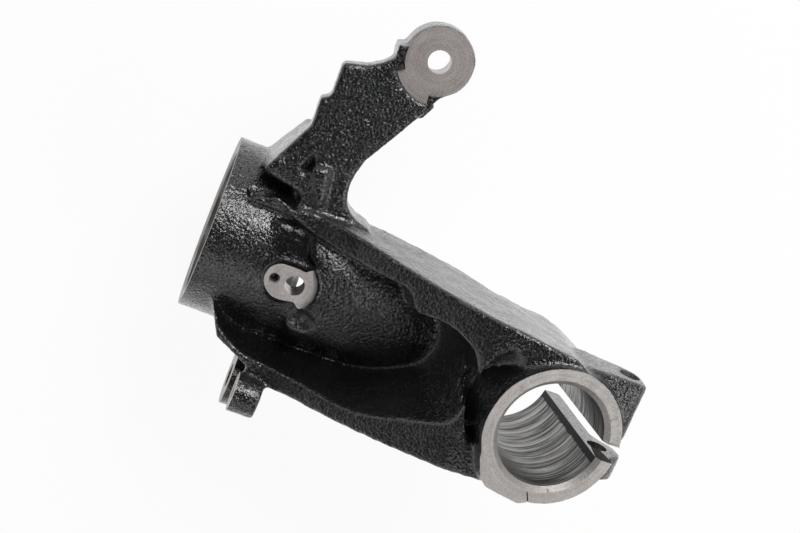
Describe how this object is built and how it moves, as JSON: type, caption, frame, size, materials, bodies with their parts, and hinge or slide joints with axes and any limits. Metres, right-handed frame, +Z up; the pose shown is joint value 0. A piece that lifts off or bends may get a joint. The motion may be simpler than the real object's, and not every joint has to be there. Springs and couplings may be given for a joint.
{
  "type": "steering knuckle",
  "caption": "Cast-iron front steering knuckle: hub ring, hollow neck up to a slit strut clamp, steering arm, sensor pad, brake lugs and ball-joint clamp.",
  "frame": {"origin": "on the wheel axis at the middle of the wheel-bearing seat", "axes": "+Y along the wheel axis, outboard; +Z up towards the strut; +X towards the steering arm"},
  "size_m": [0.234, 0.2323, 0.2159],
  "materials": {
    "casting": "black-coated sand casting with bare machined faces"
  },
  "bodies": {
    "root": {"knuckle_casting": "casting"}
  },
  "joints": []
}
